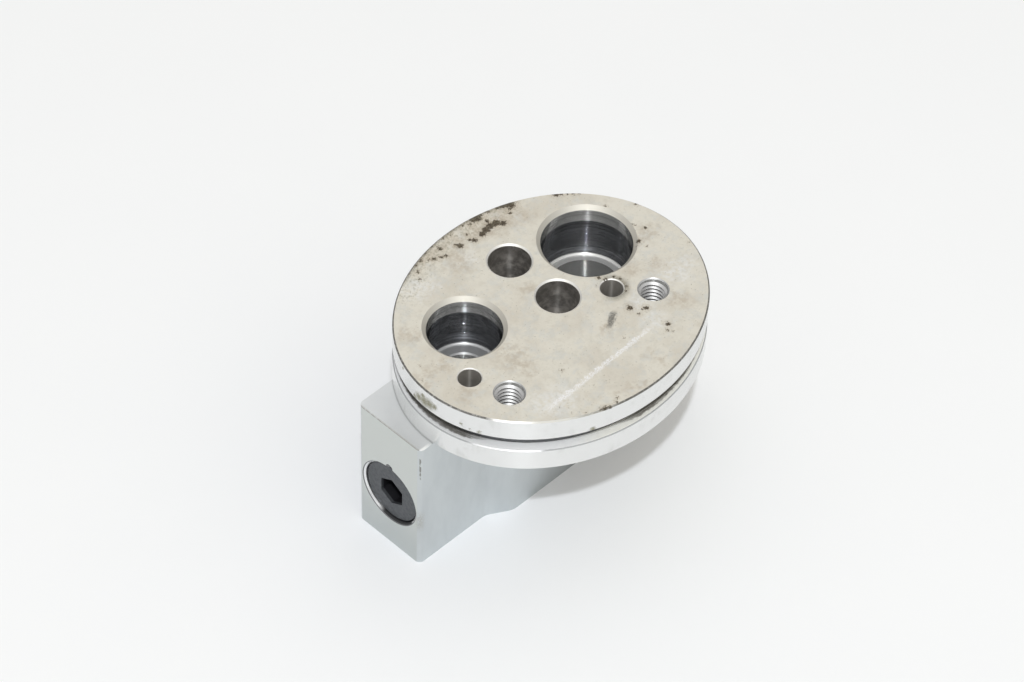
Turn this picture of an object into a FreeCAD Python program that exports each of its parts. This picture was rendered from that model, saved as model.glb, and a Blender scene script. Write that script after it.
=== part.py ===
"""Block type thermostatic expansion valve with an oval sealing flange.

The valve is modelled in millimetres, +Z up. The origin is on the base face, midway between the
two fixing screw holes. X runs along the valve axis, from the adjusting plug to the thermal head.
"""
import FreeCAD, Part

import math
import os

V = FreeCAD.Vector
UP = V(0, 0, 1)
ALONG = V(1, 0, 0)

# Block: an extruded bar, narrow at the plug and wider where the fixing screws pass
BLOCK_HEIGHT = 34.3
BLOCK_PLUG_END = -39.8
BLOCK_HEAD_END = 30.2
NARROW_HALF_WIDTH = 8.8
WIDE_HALF_WIDTH = 11.8
FLARE_START = -21.2
FLARE_ANGLE = 30.0
FLARE_INNER_FILLET = 3.5
FLARE_OUTER_FILLET = 4.0
CORNER_FILLET = 1.2

# Oval flange on top of the block, with an open groove for its sealing ring
FLANGE_HALF_LENGTH = 34.0
FLANGE_HALF_WIDTH = 28.65
FLANGE_CENTRE_X = -2.5
FLANGE_CENTRE_Y = -7.55
UPPER_LAND = 5.1
GROOVE_WIDTH = 3.2
LOWER_LAND = 5.4
GROOVE_DEPTH = 2.3
LAND_EDGE = 0.3
GROOVE_EDGE = 0.2

# Suction passage: straight through the block, with a wider port at each face
SUCTION_X = 15.2
SUCTION_PORT_RADIUS = 9.38
SUCTION_PORT_DEPTH = 13.4
SUCTION_BORE_RADIUS = 7.5
SUCTION_BASE_RADIUS = 8.6
SUCTION_BASE_DEPTH = 8.0

# Liquid passage: from the top port down to the ball chamber, and from the seat to the base port
LIQUID_X = -19.25
LIQUID_PORT_RADIUS = 7.66
LIQUID_PORT_DEPTH = 12.8
LIQUID_STEP_RADIUS = 4.8
LIQUID_STEP_DEPTH = 3.0
LIQUID_STEP_CHAMFER = 0.3
LIQUID_BORE_RADIUS = 4.0
OUTLET_PORT_OFFSET = -3.0
OUTLET_PORT_RADIUS = 6.3
OUTLET_PORT_DEPTH = 8.0
OUTLET_BORE_RADIUS = 3.3
PORT_CHAMFER = 0.85
PORT_FOOT_FILLET = 0.8

# Fixing screws go through from top to base, each with its head sunk in a counterbore
SCREW_HALF_SPACING = 6.75
SCREW_HOLE_RADIUS = 2.75
SCREW_HEAD_RADIUS = 4.43
SCREW_HEAD_DEPTH = 11.0
SCREW_CHAMFER = 0.35

# Each pipe fitting has a locating pin hole and a threaded hole, placed from its port
LIQUID_PIN_OFFSET = (-8.7, -10.2)
LIQUID_THREAD_OFFSET = (-5.95, -18.4)
SUCTION_PIN_OFFSET = (-5.9, -12.6)
SUCTION_THREAD_OFFSET = (-0.2, -18.6)
PIN_RADIUS = 2.36
PIN_DEPTH = 6.0
PIN_CHAMFER = 0.2
THREAD_RADIUS = 3.0
THREAD_DEPTH = 10.5
THREAD_CHAMFER = 0.25
DRILL_POINT_ANGLE = 118.0

# Valve axis, plug thread and chambers inside the block
AXIS_HEIGHT = 14.5
RUNNING_GAP = 0.05
PLUG_THREAD_RADIUS = 7.25
PLUG_THREAD_LENGTH = 7.2
PLUG_RECESS = 0.7
PLUG_MOUTH_CHAMFER = 0.5
SPRING_CHAMBER_RADIUS = 6.2
SPRING_CHAMBER_STEP = 0.95
BALL_CHAMBER_RADIUS = 4.7
SEAT_OFFSET = 2.25
SEAT_RADIUS = 3.2
SEAT_LENGTH = 2.2
SEAT_BACK_WALL = 0.5
ORIFICE_RADIUS = 1.6
SEAT_CONE_DEPTH = 1.0
ROD_RADIUS = 1.2
ROD_SEAL_RADIUS = 2.8
ROD_SEAL_DEPTH = 3.7

# Adjusting plug
PLUG_BODY_LENGTH = 5.6
PLUG_EDGE = 0.35
PLUG_NOSE_LENGTH = 3.6
PLUG_RING_OFFSET = 0.7
PLUG_RING_WIDTH = 2.0
PLUG_RING_THICKNESS = 1.7
PLUG_SPIGOT_RADIUS = 2.5
PLUG_SPIGOT_LENGTH = 1.6
HEX_ACROSS_FLATS = 6.0
HEX_DEPTH = 4.0
STAKE_ANGLE = 90.0
STAKE_PLACE = 7.7
STAKE_RADIUS = 0.95
STAKE_DEPTH = 1.1
STAKE_TIP_RADIUS = 0.3

# Ball, its carrier, the damper and the spring
BALL_RADIUS = 2.375
CARRIER_RADIUS = 3.9
CARRIER_RIM = 1.1
CARRIER_STEM_RADIUS = 2.5
CARRIER_LENGTH = 3.4
CARRIER_CUP_DEPTH = 0.8
DAMPER_THICKNESS = 0.35
DAMPER_HOLE_GAP = 0.15
DAMPER_LEGS = 3
DAMPER_LEG_WIDTH = 1.6
SPRING_WIRE = 1.0
SPRING_MEAN_RADIUS = 3.25
SPRING_COILS = 4.0
SPRING_END_PITCH = 1.03

# Rod seal in the wall between the two passages
BACKING_THICKNESS = 0.7
CLIP_THICKNESS = 0.35
CLIP_HOLE_GAP = 0.3
CLIP_TEETH = 6
CLIP_SLOT_WIDTH = 0.6
CLIP_SLOT_DEPTH = 0.75

# Sensing stem and the thermal head
STEM_RADIUS = 3.0
STEM_END_GAP = 0.4
STEM_SOCKET_DEPTH = 4.5
HEAD_THREAD_RADIUS = 9.0
HEAD_THREAD_DEPTH = 5.4
HEAD_TUBE_WALL = 2.2
HEAD_TUBE_SHORTFALL = 0.5
VAPOUR_RADIUS = 6.0
HEAD_RING_THICKNESS = 1.5
HEAD_SHOULDER_RADIUS = 11.6
HEAD_SHOULDER = 1.4
HEAD_RADIUS = 14.0
HEAD_RIM = 1.1
HEAD_WALL = 1.1
HEAD_DISH_RADIUS = 12.0
EDGE_BREAK = 0.3
STOP_RADIUS = 8.6
STOP_THICKNESS = 1.2
STOP_TRAVEL = 0.8
DIAPHRAGM_THICKNESS = 0.2
DIAPHRAGM_WAVE = 0.35
DOME_RISE = 2.6
CHARGE_PLUG_RADIUS = 1.9
CHARGE_PLUG_HEIGHT = 1.6
CHARGE_PLUG_CROWN = 0.6
CHARGE_HOLE_RADIUS = 1.0

# Places that several pieces share
FLANGE_BASE = BLOCK_HEIGHT
GROOVE_LOW = FLANGE_BASE + LOWER_LAND
GROOVE_HIGH = GROOVE_LOW + GROOVE_WIDTH
TOP = GROOVE_HIGH + UPPER_LAND
AXIS = V(0, 0, AXIS_HEIGHT)
PLUG_FACE = BLOCK_PLUG_END + PLUG_RECESS
PLUG_SHOULDER = PLUG_FACE + PLUG_BODY_LENGTH
PLUG_NOSE = PLUG_SHOULDER + PLUG_NOSE_LENGTH
PLUG_THREAD_END = BLOCK_PLUG_END + PLUG_THREAD_LENGTH
LIQUID_PIN = (LIQUID_X + LIQUID_PIN_OFFSET[0], LIQUID_PIN_OFFSET[1])
LIQUID_THREAD = (LIQUID_X + LIQUID_THREAD_OFFSET[0], LIQUID_THREAD_OFFSET[1])
SUCTION_PIN = (SUCTION_X + SUCTION_PIN_OFFSET[0], SUCTION_PIN_OFFSET[1])
SUCTION_THREAD = (SUCTION_X + SUCTION_THREAD_OFFSET[0], SUCTION_THREAD_OFFSET[1])
SPRING_CHAMBER_END = LIQUID_X - LIQUID_BORE_RADIUS - SPRING_CHAMBER_STEP
SEAT_FACE = LIQUID_X + SEAT_OFFSET
SEAT_END = SEAT_FACE + SEAT_LENGTH
OUTLET_BORE_X = SEAT_END + SEAT_BACK_WALL + OUTLET_BORE_RADIUS
OUTLET_PORT_X = OUTLET_BORE_X + OUTLET_PORT_OFFSET
SEAT_MOUTH_RADIUS = ORIFICE_RADIUS + SEAT_CONE_DEPTH
BALL_X = SEAT_FACE + SEAT_MOUTH_RADIUS - (BALL_RADIUS + RUNNING_GAP) * math.sqrt(2.0)
BALL_POLE = BALL_X + BALL_RADIUS
CARRIER_FRONT = BALL_X - BALL_RADIUS + CARRIER_CUP_DEPTH
CARRIER_BACK = CARRIER_FRONT - CARRIER_LENGTH
SPRING_SEAT = CARRIER_FRONT - CARRIER_RIM
ROD_SEAL_START = SUCTION_X - SUCTION_BORE_RADIUS - ROD_SEAL_DEPTH
BORE_WALL_AT_STEM = SUCTION_X - math.sqrt(SUCTION_BORE_RADIUS ** 2 - STEM_RADIUS ** 2)
STEM_START = BORE_WALL_AT_STEM + STOP_TRAVEL + STEM_END_GAP
HEAD_RECESS = BLOCK_HEAD_END - HEAD_THREAD_DEPTH
HEAD_TUBE_START = HEAD_RECESS + HEAD_TUBE_SHORTFALL
HEAD_TUBE_BORE = HEAD_THREAD_RADIUS - HEAD_TUBE_WALL
HEAD_SHELF = BLOCK_HEAD_END + HEAD_SHOULDER
STOP_X = HEAD_SHELF + STOP_TRAVEL
DIAPHRAGM_X = STOP_X + STOP_THICKNESS
CAP_X = DIAPHRAGM_X + DIAPHRAGM_THICKNESS
DOME_TOP = CAP_X + HEAD_RIM + DOME_RISE
ROD_SEAL_END = ROD_SEAL_START + ROD_SEAL_RADIUS - ROD_RADIUS - RUNNING_GAP
CLIP_START = ROD_SEAL_END + BACKING_THICKNESS


def cylinder(x, y, radius, low, high):
    """Upright cylinder between two heights."""
    return Part.makeCylinder(radius, high - low, V(x, y, low), UP)


def cone(x, y, low_radius, high_radius, low, high):
    """Upright cone between two heights."""
    return Part.makeCone(low_radius, high_radius, high - low, V(x, y, low), UP)


def axis_point(station):
    radius, x = station
    return V(x, 0, AXIS_HEIGHT + radius)


def turned(profile):
    """Solid turned about the valve axis from (radius, x) points, where a pair of points is an arc."""
    edges = []
    stations = profile + profile[:1]
    place = axis_point(stations[0])
    for station in stations[1:]:
        if isinstance(station[0], tuple):
            middle, end = axis_point(station[0]), axis_point(station[1])
            edges.append(Part.Arc(place, middle, end).toShape())
        else:
            end = axis_point(station)
            edges.append(Part.LineSegment(place, end).toShape())
        place = end
    return Part.Face(Part.Wire(edges)).revolve(AXIS, ALONG, 360)


def axial(radius, start, end):
    """Cylinder along the valve axis."""
    return Part.makeCylinder(radius, end - start, V(start, 0, AXIS_HEIGHT), ALONG)


def ring(x, inner_radius, thickness):
    """Round-section ring about the valve axis."""
    middle = inner_radius + thickness / 2
    return Part.makeTorus(middle, thickness / 2, V(x, 0, AXIS_HEIGHT), ALONG)


def oval(inset, low, high):
    """Oval prism of the flange outline, drawn in by an inset."""
    outline = Part.Ellipse(
        V(FLANGE_CENTRE_X, FLANGE_CENTRE_Y, low),
        FLANGE_HALF_LENGTH - inset,
        FLANGE_HALF_WIDTH - inset,
    )
    return Part.Face(Part.Wire(outline.toShape())).extrude(V(0, 0, high - low))


def edges_at_height(shape, heights, curve):
    """Edges of one kind of curve that lie flat at one of the heights."""
    found = []
    for edge in shape.Edges:
        box = edge.BoundBox
        flat = box.ZLength < 1e-4
        if flat and isinstance(edge.Curve, curve) and min(abs(box.ZMin - z) for z in heights) < 1e-4:
            found.append(edge)
    return found


def fillet_uprights(shape, places, radius):
    """Round the upright edges that stand at the given (x, y) places."""
    chosen = []
    for edge in shape.Edges:
        box = edge.BoundBox
        if box.ZLength < 1.0 or box.XLength > 1e-4 or box.YLength > 1e-4:
            continue
        if any(math.hypot(box.XMin - x, box.YMin - y) < 1e-3 for x, y in places):
            chosen.append(edge)
    return shape.makeFillet(radius, chosen)


def blind_hole(x, y, radius, depth):
    """Drilled hole down from the top face, with the drill's point at its bottom."""
    floor = TOP - depth
    point = radius / math.tan(math.radians(DRILL_POINT_ANGLE / 2))
    return cylinder(x, y, radius, floor, TOP).fuse(cone(x, y, 0, radius, floor - point, floor))


def top_chamfer(x, y, radius, width):
    return cone(x, y, radius, radius + width, TOP - width, TOP)


def base_chamfer(x, y, radius, width):
    return cone(x, y, radius + width, radius, 0, width)


def make_block():
    """Bar with its flared sides, before any hole is made."""
    flare_run = (WIDE_HALF_WIDTH - NARROW_HALF_WIDTH) / math.tan(math.radians(FLARE_ANGLE))
    flare_end = FLARE_START + flare_run
    side = [
        (BLOCK_PLUG_END, NARROW_HALF_WIDTH),
        (FLARE_START, NARROW_HALF_WIDTH),
        (flare_end, WIDE_HALF_WIDTH),
        (BLOCK_HEAD_END, WIDE_HALF_WIDTH),
    ]
    outline = [V(x, y, 0) for x, y in side] + [V(x, -y, 0) for x, y in reversed(side)]
    bar = Part.Face(Part.makePolygon(outline + outline[:1])).extrude(V(0, 0, BLOCK_HEIGHT))
    fillets = (
        (BLOCK_PLUG_END, NARROW_HALF_WIDTH, CORNER_FILLET),
        (FLARE_START, NARROW_HALF_WIDTH, FLARE_INNER_FILLET),
        (flare_end, WIDE_HALF_WIDTH, FLARE_OUTER_FILLET),
        (BLOCK_HEAD_END, WIDE_HALF_WIDTH, CORNER_FILLET),
    )
    for x, y, radius in fillets:
        bar = fillet_uprights(bar, ((x, y), (x, -y)), radius)
    return bar


def make_flange():
    """Oval plate with a groove round its edge and broken sharp edges."""
    plate = oval(0, FLANGE_BASE, TOP)
    groove = oval(0, GROOVE_LOW, GROOVE_HIGH).cut(oval(GROOVE_DEPTH, GROOVE_LOW, GROOVE_HIGH))
    plate = plate.cut(groove)
    corners = edges_at_height(plate, (FLANGE_BASE, TOP), Part.Ellipse)
    plate = plate.makeChamfer(LAND_EDGE, corners)
    least_length = 2 * (FLANGE_HALF_LENGTH - GROOVE_DEPTH / 2)
    mouth = [
        edge for edge in edges_at_height(plate, (GROOVE_LOW, GROOVE_HIGH), Part.Ellipse)
        if edge.BoundBox.XLength > least_length
    ]
    return plate.makeChamfer(GROOVE_EDGE, mouth)


def pipe_port(x, radius, depth):
    """Port for a pipe, chamfered at its mouth and rounded at the foot of its wall."""
    floor = TOP - depth
    port = cylinder(x, 0, radius, floor, TOP)
    foot = edges_at_height(port, (floor,), Part.Circle)
    return [port.makeFillet(PORT_FOOT_FILLET, foot), top_chamfer(x, 0, radius, PORT_CHAMFER)]


def flange_holes():
    """Everything that is cut down from the top face."""
    point_slope = math.tan(math.radians(DRILL_POINT_ANGLE / 2))
    step_top = TOP - LIQUID_PORT_DEPTH
    step_bottom = step_top - LIQUID_STEP_DEPTH
    step_point = (LIQUID_STEP_RADIUS - LIQUID_BORE_RADIUS) / point_slope
    step_mouth = LIQUID_STEP_RADIUS + LIQUID_STEP_CHAMFER
    liquid_bottom = AXIS_HEIGHT + BALL_CHAMBER_RADIUS
    liquid_point = LIQUID_BORE_RADIUS / point_slope
    cuts = pipe_port(SUCTION_X, SUCTION_PORT_RADIUS, SUCTION_PORT_DEPTH)
    cuts += pipe_port(LIQUID_X, LIQUID_PORT_RADIUS, LIQUID_PORT_DEPTH)
    cuts += [
        cylinder(SUCTION_X, 0, SUCTION_BORE_RADIUS, 0, TOP),
        cone(LIQUID_X, 0, LIQUID_STEP_RADIUS, step_mouth, step_top - LIQUID_STEP_CHAMFER, step_top),
        cylinder(LIQUID_X, 0, LIQUID_STEP_RADIUS, step_bottom, TOP),
        cone(LIQUID_X, 0, LIQUID_BORE_RADIUS, LIQUID_STEP_RADIUS, step_bottom - step_point, step_bottom),
        cylinder(LIQUID_X, 0, LIQUID_BORE_RADIUS, liquid_bottom, TOP),
        cone(LIQUID_X, 0, 0, LIQUID_BORE_RADIUS, liquid_bottom - liquid_point, liquid_bottom),
    ]
    for y in (-SCREW_HALF_SPACING, SCREW_HALF_SPACING):
        cuts.append(cylinder(0, y, SCREW_HEAD_RADIUS, TOP - SCREW_HEAD_DEPTH, TOP))
        cuts.append(top_chamfer(0, y, SCREW_HEAD_RADIUS, SCREW_CHAMFER))
        cuts.append(cylinder(0, y, SCREW_HOLE_RADIUS, 0, TOP))
    for x, y in (LIQUID_PIN, SUCTION_PIN):
        cuts.append(blind_hole(x, y, PIN_RADIUS, PIN_DEPTH))
        cuts.append(top_chamfer(x, y, PIN_RADIUS, PIN_CHAMFER))
    for x, y in (LIQUID_THREAD, SUCTION_THREAD):
        cuts.append(blind_hole(x, y, THREAD_RADIUS, THREAD_DEPTH))
        cuts.append(top_chamfer(x, y, THREAD_RADIUS, THREAD_CHAMFER))
    return cuts


def base_holes():
    """The two ports that face the evaporator, and the drilling behind the seat."""
    outlet_top = AXIS_HEIGHT + ORIFICE_RADIUS
    outlet_point = OUTLET_BORE_RADIUS / math.tan(math.radians(DRILL_POINT_ANGLE / 2))
    return [
        cylinder(SUCTION_X, 0, SUCTION_BASE_RADIUS, 0, SUCTION_BASE_DEPTH),
        base_chamfer(SUCTION_X, 0, SUCTION_BASE_RADIUS, PORT_CHAMFER),
        cylinder(OUTLET_PORT_X, 0, OUTLET_PORT_RADIUS, 0, OUTLET_PORT_DEPTH),
        base_chamfer(OUTLET_PORT_X, 0, OUTLET_PORT_RADIUS, PORT_CHAMFER),
        cylinder(OUTLET_BORE_X, 0, OUTLET_BORE_RADIUS, 0, outlet_top),
        cone(OUTLET_BORE_X, 0, OUTLET_BORE_RADIUS, 0, outlet_top, outlet_top + outlet_point),
    ]


def axis_holes():
    """Bores along the valve axis: plug thread, chambers, seat, rod guide, seal and head thread."""
    mouth = PLUG_THREAD_RADIUS + PLUG_MOUTH_CHAMFER
    mouth_end = BLOCK_PLUG_END + PLUG_MOUTH_CHAMFER
    ring_pocket = HEAD_THREAD_RADIUS + HEAD_RING_THICKNESS
    return [
        turned([
            (0, BLOCK_PLUG_END),
            (mouth, BLOCK_PLUG_END),
            (PLUG_THREAD_RADIUS, mouth_end),
            (PLUG_THREAD_RADIUS, PLUG_THREAD_END),
            (SPRING_CHAMBER_RADIUS, PLUG_THREAD_END),
            (SPRING_CHAMBER_RADIUS, SPRING_CHAMBER_END),
            (BALL_CHAMBER_RADIUS, SPRING_CHAMBER_END),
            (BALL_CHAMBER_RADIUS, SEAT_FACE),
            (SEAT_RADIUS, SEAT_FACE),
            (SEAT_RADIUS, SEAT_END),
            (ORIFICE_RADIUS, SEAT_END),
            (ORIFICE_RADIUS, OUTLET_BORE_X),
            (0, OUTLET_BORE_X),
        ]),
        axial(ROD_RADIUS + RUNNING_GAP, OUTLET_BORE_X, SUCTION_X),
        axial(ROD_SEAL_RADIUS, ROD_SEAL_START, SUCTION_X),
        axial(VAPOUR_RADIUS, SUCTION_X, BLOCK_HEAD_END),
        turned([
            (0, HEAD_RECESS),
            (HEAD_THREAD_RADIUS, HEAD_RECESS),
            (HEAD_THREAD_RADIUS, BLOCK_HEAD_END - HEAD_RING_THICKNESS),
            (ring_pocket, BLOCK_HEAD_END - HEAD_RING_THICKNESS),
            (ring_pocket, BLOCK_HEAD_END),
            (0, BLOCK_HEAD_END),
        ]),
    ]


def stake_punch():
    """Punch mark at the joint of plug and block, which locks the plug."""
    y = STAKE_PLACE * math.cos(math.radians(STAKE_ANGLE))
    z = STAKE_PLACE * math.sin(math.radians(STAKE_ANGLE))
    place = V(BLOCK_PLUG_END, y, AXIS_HEIGHT + z)
    return Part.makeCone(STAKE_RADIUS, STAKE_TIP_RADIUS, STAKE_DEPTH, place, ALONG)


def make_valve_body():
    body = make_block().fuse(make_flange()).removeSplitter()
    return body.cut(flange_holes() + base_holes() + axis_holes() + [stake_punch()])


def make_adjusting_plug():
    """Threaded plug with a hexagon socket, a seal groove on its nose and a spigot for the spring."""
    nose_radius = SPRING_CHAMBER_RADIUS - RUNNING_GAP
    thread_radius = PLUG_THREAD_RADIUS - RUNNING_GAP
    groove_start = PLUG_SHOULDER + PLUG_RING_OFFSET
    groove_end = groove_start + PLUG_RING_WIDTH
    groove_radius = SPRING_CHAMBER_RADIUS - PLUG_RING_THICKNESS
    spigot_end = PLUG_NOSE + PLUG_SPIGOT_LENGTH
    plug = turned([
        (0, PLUG_FACE),
        (thread_radius - PLUG_EDGE, PLUG_FACE),
        (thread_radius, PLUG_FACE + PLUG_EDGE),
        (thread_radius, PLUG_SHOULDER),
        (nose_radius, PLUG_SHOULDER),
        (nose_radius, groove_start),
        (groove_radius, groove_start),
        (groove_radius, groove_end),
        (nose_radius, groove_end),
        (nose_radius, PLUG_NOSE),
        (PLUG_SPIGOT_RADIUS, PLUG_NOSE),
        (PLUG_SPIGOT_RADIUS, spigot_end),
        (0, spigot_end),
    ])
    corner = HEX_ACROSS_FLATS / math.sqrt(3.0)
    corners = []
    for step in range(6):
        turn = math.radians(90 + 60 * step)
        corners.append(V(PLUG_FACE, corner * math.cos(turn), AXIS_HEIGHT + corner * math.sin(turn)))
    socket = Part.Face(Part.makePolygon(corners + corners[:1])).extrude(V(HEX_DEPTH, 0, 0))
    return plug.cut([socket, stake_punch()])


def make_plug_ring():
    middle = PLUG_SHOULDER + PLUG_RING_OFFSET + PLUG_RING_WIDTH / 2
    return ring(middle, SPRING_CHAMBER_RADIUS - PLUG_RING_THICKNESS, PLUG_RING_THICKNESS)


def make_spring():
    """Superheat spring: open coils between two closed end coils, one piece of helix per turn."""
    half_wire = SPRING_WIRE / 2
    end_pitch = SPRING_WIRE * SPRING_END_PITCH
    active = SPRING_SEAT - PLUG_NOSE - SPRING_WIRE - 2 * end_pitch
    helix_parts = []
    place = PLUG_NOSE + half_wire
    turn = 0.0
    for pitch, turns in ((end_pitch, 1.0), (active / SPRING_COILS, SPRING_COILS), (end_pitch, 1.0)):
        pieces = max(1, round(turns))
        share = turns / pieces
        for _ in range(pieces):
            helix = Part.makeHelix(pitch, pitch * share, SPRING_MEAN_RADIUS)
            helix.rotate(V(0, 0, 0), UP, turn)
            helix.rotate(V(0, 0, 0), V(0, 1, 0), 90)
            helix.translate(V(place, 0, AXIS_HEIGHT))
            helix_parts += helix.Edges
            place += pitch * share
            turn += 360.0 * share
    spine = Part.Wire(Part.sortEdges(helix_parts)[0])
    first = spine.OrderedEdges[0]
    origin = first.valueAt(first.FirstParameter)
    heading = first.tangentAt(first.FirstParameter)
    section = Part.Wire(Part.Circle(origin, heading, half_wire).toShape())
    return spine.makePipeShell([section], True, True)


def make_ball():
    return Part.makeSphere(BALL_RADIUS, V(BALL_X, 0, AXIS_HEIGHT))


def make_ball_carrier():
    """Cup that holds the ball, with a rim for the spring and a stem inside its coils."""
    carrier = turned([
        (0, CARRIER_BACK),
        (CARRIER_STEM_RADIUS, CARRIER_BACK),
        (CARRIER_STEM_RADIUS, SPRING_SEAT),
        (CARRIER_RADIUS, SPRING_SEAT),
        (CARRIER_RADIUS, CARRIER_FRONT),
        (0, CARRIER_FRONT),
    ])
    return carrier.cut(make_ball())


def make_seat():
    """Pressed-in seat ring with a cone for the ball."""
    return turned([
        (SEAT_MOUTH_RADIUS, SEAT_FACE),
        (SEAT_RADIUS, SEAT_FACE),
        (SEAT_RADIUS, SEAT_END),
        (ORIFICE_RADIUS, SEAT_END),
        (ORIFICE_RADIUS, SEAT_FACE + SEAT_CONE_DEPTH),
    ])


def make_push_rod():
    return axial(ROD_RADIUS, BALL_POLE, STEM_START + STEM_SOCKET_DEPTH)


def make_sensing_stem():
    """Stem across the suction passage, with a socket for the rod and a spigot in the stop plate."""
    end = STOP_X
    return turned([
        (0, STEM_START + STEM_SOCKET_DEPTH),
        (ROD_RADIUS, STEM_START + STEM_SOCKET_DEPTH),
        (ROD_RADIUS, STEM_START),
        (STEM_RADIUS - EDGE_BREAK, STEM_START),
        (STEM_RADIUS, STEM_START + EDGE_BREAK),
        (STEM_RADIUS, end),
        (0, end),
    ])


def make_stop_plate():
    """Round plate between the stem and the diaphragm. It meets the shelf at full opening."""
    return turned([
        (0, STOP_X),
        (STOP_RADIUS - EDGE_BREAK, STOP_X),
        (STOP_RADIUS, STOP_X + EDGE_BREAK),
        (STOP_RADIUS, DIAPHRAGM_X - EDGE_BREAK),
        (STOP_RADIUS - EDGE_BREAK, DIAPHRAGM_X),
        (0, DIAPHRAGM_X),
    ])


def make_rod_ring():
    middle = (ROD_SEAL_START + ROD_SEAL_END) / 2
    return ring(middle, ROD_RADIUS + RUNNING_GAP, ROD_SEAL_END - ROD_SEAL_START)


def make_backing_washer():
    outer = axial(ROD_SEAL_RADIUS - RUNNING_GAP, ROD_SEAL_END, CLIP_START)
    return outer.cut(axial(ROD_RADIUS + RUNNING_GAP, ROD_SEAL_END, CLIP_START))


def make_clip():
    """Star washer pressed into the pocket, which keeps the seal in."""
    end = CLIP_START + CLIP_THICKNESS
    hole = axial(ROD_RADIUS + CLIP_HOLE_GAP, CLIP_START, end)
    clip = axial(ROD_SEAL_RADIUS, CLIP_START, end).cut(hole)
    slots = []
    for tooth in range(CLIP_TEETH):
        slot = Part.makeBox(
            CLIP_THICKNESS, CLIP_SLOT_WIDTH, CLIP_SLOT_DEPTH,
            V(CLIP_START, -CLIP_SLOT_WIDTH / 2, AXIS_HEIGHT + ROD_SEAL_RADIUS - CLIP_SLOT_DEPTH),
        )
        slot.rotate(AXIS, ALONG, 360.0 * tooth / CLIP_TEETH)
        slots.append(slot)
    return clip.cut(slots)


def make_damper():
    """Spring steel ring on the carrier, with legs that drag on the chamber wall."""
    start = CARRIER_FRONT
    end = start + DAMPER_THICKNESS
    disc = axial(CARRIER_RADIUS, start, end).cut(axial(BALL_RADIUS + DAMPER_HOLE_GAP, start, end))
    legs = []
    reach = BALL_CHAMBER_RADIUS - RUNNING_GAP
    root = CARRIER_RADIUS - DAMPER_THICKNESS
    for leg in range(DAMPER_LEGS):
        tab = Part.makeBox(
            end - SPRING_SEAT, DAMPER_LEG_WIDTH, reach - root,
            V(SPRING_SEAT, -DAMPER_LEG_WIDTH / 2, AXIS_HEIGHT + root),
        )
        tab = tab.common(axial(reach, SPRING_SEAT, end))
        tab = tab.cut(axial(CARRIER_RADIUS, SPRING_SEAT, start))
        tab.rotate(AXIS, ALONG, 360.0 * leg / DAMPER_LEGS)
        legs.append(tab)
    return disc.fuse(legs).removeSplitter()


def make_head_base():
    """Lower cup of the thermal head, with the thread that screws into the block."""
    thread = HEAD_THREAD_RADIUS - RUNNING_GAP
    shelf = HEAD_SHOULDER_RADIUS - HEAD_WALL
    return turned([
        (HEAD_TUBE_BORE, HEAD_TUBE_START),
        (thread - EDGE_BREAK, HEAD_TUBE_START),
        (thread, HEAD_TUBE_START + EDGE_BREAK),
        (thread, BLOCK_HEAD_END),
        (HEAD_SHOULDER_RADIUS, BLOCK_HEAD_END),
        (HEAD_SHOULDER_RADIUS, HEAD_SHELF),
        (HEAD_RADIUS, DIAPHRAGM_X - HEAD_RIM),
        (HEAD_RADIUS, DIAPHRAGM_X),
        (HEAD_DISH_RADIUS, DIAPHRAGM_X),
        (shelf, HEAD_SHELF),
        (HEAD_TUBE_BORE, HEAD_SHELF),
    ])


def make_head_ring():
    """Rubber ring under the head's shoulder, in the mouth of its thread."""
    middle = BLOCK_HEAD_END - HEAD_RING_THICKNESS / 2
    return ring(middle, HEAD_THREAD_RADIUS, HEAD_RING_THICKNESS)


def make_diaphragm():
    """Thin steel disc, clamped at its rim, with one ring of wave round its flat middle."""
    crest_radius = (HEAD_DISH_RADIUS + STOP_RADIUS) / 2
    far = DIAPHRAGM_X + DIAPHRAGM_THICKNESS
    return turned([
        (0, DIAPHRAGM_X),
        (STOP_RADIUS, DIAPHRAGM_X),
        ((crest_radius, DIAPHRAGM_X + DIAPHRAGM_WAVE), (HEAD_DISH_RADIUS, DIAPHRAGM_X)),
        (HEAD_RADIUS, DIAPHRAGM_X),
        (HEAD_RADIUS, far),
        (HEAD_DISH_RADIUS, far),
        ((crest_radius, far + DIAPHRAGM_WAVE), (STOP_RADIUS, far)),
        (0, far),
    ])


def dome_points(radius, foot, top):
    """Foot, middle and crown of a shallow dome's arc, which ends at the filling hole."""
    ball = (radius ** 2 + (top - foot) ** 2) / (2 * (top - foot))
    places = (radius, (radius + CHARGE_HOLE_RADIUS) / 2, CHARGE_HOLE_RADIUS)
    return [(place, top - ball + math.sqrt(ball ** 2 - place ** 2)) for place in places]


def make_head_cap():
    """Upper cup of the thermal head, a shallow dome with a filling hole."""
    foot = CAP_X + HEAD_RIM
    outer_foot, outer_middle, outer_crown = dome_points(HEAD_DISH_RADIUS, foot, DOME_TOP)
    inner_foot, inner_middle, inner_crown = dome_points(
        HEAD_DISH_RADIUS - HEAD_WALL, foot, DOME_TOP - HEAD_WALL
    )
    return turned([
        (HEAD_RADIUS, CAP_X),
        (HEAD_RADIUS, foot),
        outer_foot,
        (outer_middle, outer_crown),
        inner_crown,
        (inner_middle, inner_foot),
        (HEAD_DISH_RADIUS, CAP_X),
    ])


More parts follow.
